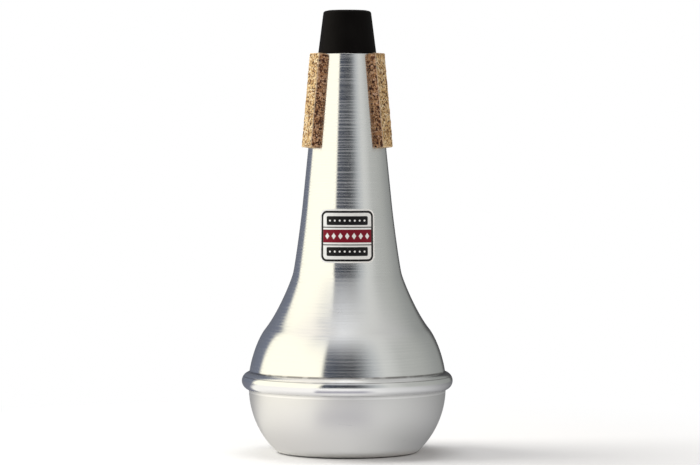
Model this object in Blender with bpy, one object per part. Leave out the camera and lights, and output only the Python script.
# Straight mute for a tenor trombone, standing on its flat end.
# Two spun aluminium shells meet in a rolled bead. A rubber tip sits in the neck,
# three cork strips hold the mute in the bell, and a printed label faces the front.
# Metres, +Z up, origin at the centre of the flat end, front towards -Y.

import math

import bmesh
import bpy
from mathutils import Matrix, Vector

# Sheet metal and fits
SHEET = 0.0010
FIT_GAP = 0.0003

# Base cup: flat end, rounded edge and bowed side up to the bead
CUP_RADIUS = 0.0558
CUP_SIDE_BOW = 0.0495
CUP_EDGE_ROUNDING = 0.0050

# Rolled bead that locks the two shells together. Its crest stands out from the cup's
# side, and its tucked edge stops a little clear of that side.
BEAD_HEIGHT = 0.0406
BEAD_STAND = 0.0040
BEAD_ROLL = 0.0051
BEAD_FILLET = 0.0018
TUCK_GAP = 0.00042
CUP_RIM_BEND = 0.0005
CUP_RIM_CURL_END = math.radians(95)

# Cone body: shoulder above the bead, flare, bend, waist and neck. The shoulder starts
# one step inside the cup's radius.
SHOULDER_STEP = 0.0003
SHOULDER_LEAN = math.radians(9)
SHOULDER_PULL = 0.0090
FLARE_HEIGHT = 0.0700
FLARE_RADIUS = 0.0464
FLARE_LEAN = math.radians(38.5)
FLARE_PULL_DOWN = 0.0060
FLARE_PULL_UP = 0.0120
BEND_HEIGHT = 0.1015
BEND_RADIUS = 0.0307
BEND_LEAN = math.radians(13)
BEND_PULL_DOWN = 0.0040
BEND_PULL_UP = 0.0050
WAIST_HEIGHT = 0.1410
WAIST_RADIUS = 0.0252
WAIST_PULL = 0.0120
NECK_HEIGHT = 0.2253
NECK_RADIUS = 0.0167

# Rubber tip: tapered tube with a shoulder on the neck's rim and a spigot inside it
TIP_HEIGHT = 0.0244
TIP_FOOT_RADIUS = 0.0165
TIP_TOP_RADIUS = 0.0134
TIP_WALL = 0.0032
TIP_ROUNDING = 0.0016
TIP_CROWN = 0.0003
SPIGOT_LENGTH = 0.0120

# Cork strips
CORK_LENGTH = 0.0533
CORK_WIDTH = 0.0110
CORK_THICKNESS = 0.00475
CORK_PLACES = {"cork_left": -150, "cork_right": -30, "cork_back": 90}

# Printed label
LABEL_HEIGHT = 0.1232
LABEL_WIDTH = 0.0320
LABEL_LENGTH = 0.0300
LABEL_CORNER = 0.0040
LABEL_THICKNESS = 0.0003

# Facets
ROUND_STEPS = 56
SMOOTH_ANGLE = math.radians(30)


def clear_scene():
    for item in list(bpy.data.objects):
        bpy.data.objects.remove(item, do_unlink=True)


def make_material(name, color, roughness, metallic=0.0):
    material = bpy.data.materials.new(name)
    material.use_nodes = True
    shader = material.node_tree.nodes["Principled BSDF"]
    shader.inputs["Base Color"].default_value = (*color, 1.0)
    shader.inputs["Roughness"].default_value = roughness
    shader.inputs["Metallic"].default_value = metallic
    material.diffuse_color = (*color, 1.0)
    return material


# Outlines lie in the plane of radius and height, so a point is Vector((radius, height)).
# A path runs down the outside of a shell, and a lean is measured from straight down
# towards the outside.

def leaning(lean):
    return Vector((math.sin(lean), -math.cos(lean)))


def arc(centre, radius, start, end, steps):
    turns = (start + (end - start) * step / steps for step in range(steps + 1))
    return [centre + radius * Vector((math.cos(turn), math.sin(turn))) for turn in turns]


def curve(start, start_lean, start_pull, end, end_lean, end_pull, steps):
    first = start + leaning(start_lean) * start_pull
    last = end - leaning(end_lean) * end_pull
    points = []
    for step in range(steps + 1):
        t = step / steps
        s = 1 - t
        points.append(s**3 * start + 3 * s * s * t * first + 3 * s * t * t * last + t**3 * end)
    return points


def join(*stretches):
    path = []
    for stretch in stretches:
        for point in stretch:
            if not path or (point - path[-1]).length > 1e-6:
                path.append(point)
    return path


def moved_inwards(path, distance):
    moved = []
    for index, point in enumerate(path):
        before = path[max(index - 1, 0)]
        after = path[min(index + 1, len(path) - 1)]
        along = (after - before).normalized()
        moved.append(point + distance * Vector((along.y, -along.x)))
    return moved


def height_crossing(path, height):
    for upper, lower in zip(path, path[1:]):
        if lower.y <= height <= upper.y:
            share = (height - lower.y) / (upper.y - lower.y)
            return lower.lerp(upper, share).x
    raise ValueError("the path doesn't reach this height")


# The bead's roll and everything that is concentric with it turn about this point
BEAD_CENTRE = Vector((CUP_RADIUS + BEAD_STAND - BEAD_ROLL, BEAD_HEIGHT))


def shoulder_and_bead():
    """Fillet from the shoulder into the bead, and the bead round to its tucked edge."""
    down = leaning(SHOULDER_LEAN)
    out = Vector((math.cos(SHOULDER_LEAN), math.sin(SHOULDER_LEAN)))
    foot = Vector((CUP_RADIUS - SHOULDER_STEP, BEAD_HEIGHT + BEAD_ROLL))
    start = foot + out * BEAD_FILLET
    reach = start - BEAD_CENTRE
    along = reach.dot(down)
    apart = (BEAD_ROLL + BEAD_FILLET) ** 2 - reach.length_squared + along**2
    fillet_centre = start - down * (along + math.sqrt(apart))

    from_shoulder = math.pi + SHOULDER_LEAN
    towards_bead = BEAD_CENTRE - fillet_centre
    into_bead = math.atan2(towards_bead.y, towards_bead.x) % (2 * math.pi)
    fillet = arc(fillet_centre, BEAD_FILLET, from_shoulder, into_bead, steps=3)

    # The inner corner of the tucked edge is what comes nearest to the cup's side
    corner_x = CUP_RADIUS + TUCK_GAP - BEAD_CENTRE.x
    tuck = math.asin(corner_x / (BEAD_ROLL - SHEET)) - math.pi / 2
    bead = arc(BEAD_CENTRE, BEAD_ROLL, into_bead - math.pi, tuck, steps=11)
    return fillet, bead


def taper_lean():
    return math.atan2(WAIST_RADIUS - NECK_RADIUS, NECK_HEIGHT - WAIST_HEIGHT)


def cone_outside():
    """Outside of the cone body from the neck's rim down to the bead's tucked edge."""
    neck = Vector((NECK_RADIUS, NECK_HEIGHT))
    waist = Vector((WAIST_RADIUS, WAIST_HEIGHT))
    bend = Vector((BEND_RADIUS, BEND_HEIGHT))
    flare = Vector((FLARE_RADIUS, FLARE_HEIGHT))
    fillet, bead = shoulder_and_bead()
    taper = taper_lean()
    return join(
        [neck, neck.lerp(waist, 0.5)],
        curve(waist, taper, WAIST_PULL, bend, BEND_LEAN, BEND_PULL_UP, steps=4),
        curve(bend, BEND_LEAN, BEND_PULL_DOWN, flare, FLARE_LEAN, FLARE_PULL_UP, steps=5),
        curve(flare, FLARE_LEAN, FLARE_PULL_DOWN,
              fillet[0], SHOULDER_LEAN, SHOULDER_PULL, steps=6),
        fillet,
        bead,
    )


def cup_outside():
    """Outside of the base cup from its curled rim, inside the bead, down to the axis."""
    curl_radius = BEAD_ROLL - SHEET - FIT_GAP
    bend_x = CUP_RADIUS + CUP_RIM_BEND
    drop = math.sqrt((curl_radius + CUP_RIM_BEND) ** 2 - (bend_x - BEAD_CENTRE.x) ** 2)
    bend_centre = Vector((bend_x, BEAD_HEIGHT - drop))
    towards_curl = BEAD_CENTRE - bend_centre
    curl_turn = math.atan2(towards_curl.y, towards_curl.x)
    curl = arc(BEAD_CENTRE, curl_radius, CUP_RIM_CURL_END, curl_turn - math.pi, steps=9)
    rim_bend = arc(bend_centre, CUP_RIM_BEND, curl_turn, math.pi, steps=3)

    # The side is one arc that stands upright at the rim's bend. The edge rounding
    # touches it from inside and touches the flat end.
    side_centre = Vector((CUP_RADIUS - CUP_SIDE_BOW, bend_centre.y))
    rise = side_centre.y - CUP_EDGE_ROUNDING
    flat_radius = side_centre.x + math.sqrt((CUP_SIDE_BOW - CUP_EDGE_ROUNDING) ** 2 - rise**2)
    edge_centre = Vector((flat_radius, CUP_EDGE_ROUNDING))
    meeting = math.atan2(edge_centre.y - side_centre.y, edge_centre.x - side_centre.x)
    side = arc(side_centre, CUP_SIDE_BOW, 0.0, meeting, steps=8)
    edge = arc(edge_centre, CUP_EDGE_ROUNDING, meeting, -math.pi / 2, steps=3)
    return join(curl, rim_bend, side, edge)


def spun(outline):
    """Turn a closed outline, or one that starts and ends on the axis, into a solid."""
    mesh = bmesh.new()
    points = [mesh.verts.new((point.x, 0.0, point.y)) for point in outline]
    edges = [mesh.edges.new(pair) for pair in zip(points, points[1:])]
    if outline[0].x > 0:
        edges.append(mesh.edges.new((points[-1], points[0])))
    bmesh.ops.spin(mesh, geom=points + edges, axis=(0, 0, 1), cent=(0, 0, 0),
                   angle=2 * math.pi, steps=ROUND_STEPS, use_merge=True)
    bmesh.ops.remove_doubles(mesh, verts=mesh.verts, dist=1e-6)
    bmesh.ops.recalc_face_normals(mesh, faces=mesh.faces)
    return mesh


def add_object(name, source, material, parent):
    mesh = bpy.data.meshes.new(name)
    source.to_mesh(mesh)
    source.free()
    mesh.materials.append(material)
    mesh.shade_smooth()
    mesh.set_sharp_from_angle(angle=SMOOTH_ANGLE)
    item = bpy.data.objects.new(name, mesh)
    item.parent = parent
    bpy.context.collection.objects.link(item)
    return item


def add_cone_body(parent):
    outside = cone_outside()
    inside = moved_inwards(outside, SHEET)
    # The rim is trimmed level, so the tip's shoulder sits flat on it
    inside[0] = Vector((NECK_RADIUS - SHEET / math.cos(taper_lean()), NECK_HEIGHT))
    material = make_material("spun_aluminium", (0.83, 0.83, 0.82), 0.28, 1.0)
    return add_object("cone_body", spun(outside + inside[::-1]), material, parent)


def add_base_cup(parent):
    outside = cup_outside()
    inside = moved_inwards(outside, SHEET)
    inside[-1] = Vector((outside[-1].x, SHEET))
    outline = [Vector((0, 0))] + outside[::-1] + inside + [Vector((0, SHEET))]
    material = make_material("satin_aluminium", (0.80, 0.80, 0.79), 0.42, 1.0)
    return add_object("base_cup", spun(outline), material, parent)


def add_rubber_tip(parent):
    """Tapered tube with a rounded lip, stepped in to a spigot that follows the neck."""
    foot = Vector((TIP_FOOT_RADIUS, NECK_HEIGHT + FIT_GAP))
    top = Vector((TIP_TOP_RADIUS, foot.y + TIP_HEIGHT - TIP_CROWN))
    side_lean = math.atan2(foot.x - top.x, top.y - foot.y)
    # The lip's centre lies one rounding inside both the side and the top
    lip_x = top.x + TIP_ROUNDING * (math.tan(side_lean) - 1 / math.cos(side_lean))
    lip_centre = Vector((lip_x, top.y - TIP_ROUNDING))
    lip = arc(lip_centre, TIP_ROUNDING, side_lean, math.pi / 2, steps=4)

    seat_x = NECK_RADIUS - (SHEET + FIT_GAP) / math.cos(taper_lean())
    spigot_end = foot.y - SPIGOT_LENGTH
    end_x = seat_x + SPIGOT_LENGTH * math.tan(taper_lean())
    bore_top = top.x - TIP_WALL
    bore_seat = seat_x - TIP_WALL
    outline = [
        *lip,
        Vector((bore_top, foot.y + TIP_HEIGHT)),
        Vector((bore_seat, foot.y)),
        Vector((end_x - TIP_WALL, spigot_end)),
        Vector((end_x, spigot_end)),
        Vector((seat_x, foot.y)),
        foot,
    ]
    material = make_material("black_rubber", (0.018, 0.017, 0.017), 0.55)
    return add_object("rubber_tip", spun(outline), material, parent)


def add_cork_seat():
    """Cutter with the shape of the cone body's outside, one gap larger."""
    path = moved_inwards(cone_outside(), -FIT_GAP)
    above = path[0] - leaning(taper_lean()) * CORK_THICKNESS
    outline = [Vector((0, above.y)), above, *path, Vector((0, path[-1].y))]
    cutter = add_object("cork_seat", spun(outline), make_material("guide", (1, 0, 0), 0.5), None)
    cutter.hide_render = True
    cutter.display_type = "WIRE"
    return cutter


def add_corks(parent, seat):
    """Square-cut strips laid down the taper, hollowed underneath to sit on the cone."""
    strip = bmesh.new()
    bmesh.ops.create_cube(strip, size=1.0)
    # The blank reaches below the neck's surface, and the seat cuts that part away
    sunk = CORK_WIDTH / 4
    bmesh.ops.scale(strip, vec=(sunk + CORK_THICKNESS, CORK_WIDTH, CORK_LENGTH), verts=strip.verts)
    middle = Vector(((CORK_THICKNESS - sunk) / 2, 0, -CORK_LENGTH / 2))
    bmesh.ops.translate(strip, vec=middle, verts=strip.verts)
    lay_down = Matrix.Rotation(-taper_lean(), 4, "Y")
    bmesh.ops.transform(strip, matrix=lay_down, verts=strip.verts)
    bmesh.ops.translate(strip, vec=(NECK_RADIUS, 0, NECK_HEIGHT), verts=strip.verts)
    material = make_material("cork", (0.50, 0.31, 0.15), 0.85)
    for name, azimuth in CORK_PLACES.items():
        cork = add_object(name, strip.copy(), material, parent)
        cork.rotation_euler.z = math.radians(azimuth)
        hollow = cork.modifiers.new("seat", "BOOLEAN")
        hollow.operation = "DIFFERENCE"
        hollow.solver = "EXACT"
        hollow.object = seat
    strip.free()


def add_label(parent):
    """Flat sticker with rounded corners, cut into strips and wrapped on the cone."""
    sticker = bmesh.new()
    bmesh.ops.create_grid(sticker, x_segments=1, y_segments=1, size=0.5)
    bmesh.ops.scale(sticker, vec=(LABEL_WIDTH, LABEL_LENGTH, 1), verts=sticker.verts)
    bmesh.ops.bevel(sticker, geom=sticker.verts[:], affect="VERTICES", offset=LABEL_CORNER,
                    offset_type="OFFSET", segments=3, profile=0.5, material=-1)
    for across, size in (((1, 0, 0), LABEL_WIDTH), ((0, 1, 0), LABEL_LENGTH)):
        strips = 8 if across[0] else 4
        for cut in range(1, strips):
            place = Vector(across) * size * (cut / strips - 0.5)
            everything = sticker.verts[:] + sticker.edges[:] + sticker.faces[:]
            bmesh.ops.bisect_plane(sticker, geom=everything, plane_co=place, plane_no=across)
    bmesh.ops.triangulate(sticker, faces=sticker.faces)
    printed = bmesh.ops.extrude_face_region(sticker, geom=sticker.faces[:])["geom"]
    raised = [item for item in printed if isinstance(item, bmesh.types.BMVert)]
    bmesh.ops.translate(sticker, vec=(0, 0, LABEL_THICKNESS), verts=raised)
    outside = cone_outside()
    for vert in sticker.verts:
        height = LABEL_HEIGHT + vert.co.y
        surface = height_crossing(outside, height)
        turn = vert.co.x / surface - math.pi / 2
        radius = surface + FIT_GAP + vert.co.z
        vert.co = (radius * math.cos(turn), radius * math.sin(turn), height)
    bmesh.ops.recalc_face_normals(sticker, faces=sticker.faces)
    material = make_material("printed_label", (0.86, 0.85, 0.83), 0.35)
    return add_object("label", sticker, material, parent)


clear_scene()
mute = bpy.data.objects.new("straight_mute", None)
bpy.context.collection.objects.link(mute)
add_cone_body(mute)
add_base_cup(mute)
add_rubber_tip(mute)
add_corks(mute, add_cork_seat())
add_label(mute)
